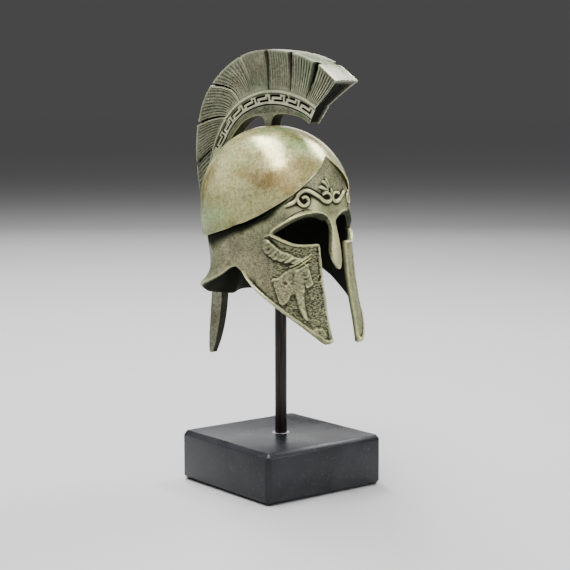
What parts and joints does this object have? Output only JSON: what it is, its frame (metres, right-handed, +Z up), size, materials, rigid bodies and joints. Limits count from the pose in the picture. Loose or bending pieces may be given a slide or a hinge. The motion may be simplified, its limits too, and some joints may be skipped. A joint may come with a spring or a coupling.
{
  "type": "miniature crested Greek bronze helmet with its rod and square stone stand",
  "caption": "Miniature crested bronze helmet with almond eye openings, nasal and pointed cheek guards, held up by a round rod on a square stone base.",
  "frame": {"origin": "centre of the square base's underside, on the surface that the piece stands on", "axes": "+Z up along the rod; the helmet faces -Y and is symmetric about X = 0, so its left cheek guard is on +X; the square base is turned 12.3 degrees clockwise about Z, seen from above"},
  "size_m": [0.0848, 0.0938, 0.2155],
  "materials": {
    "stone_base": "satin",
    "support_rod": "satin",
    "helmet_shell": "satin",
    "crest": "satin"
  },
  "bodies": {
    "root": {"stone_base": "stone_base", "support_rod": "support_rod", "helmet_shell": "helmet_shell", "crest": "crest"}
  },
  "joints": []
}
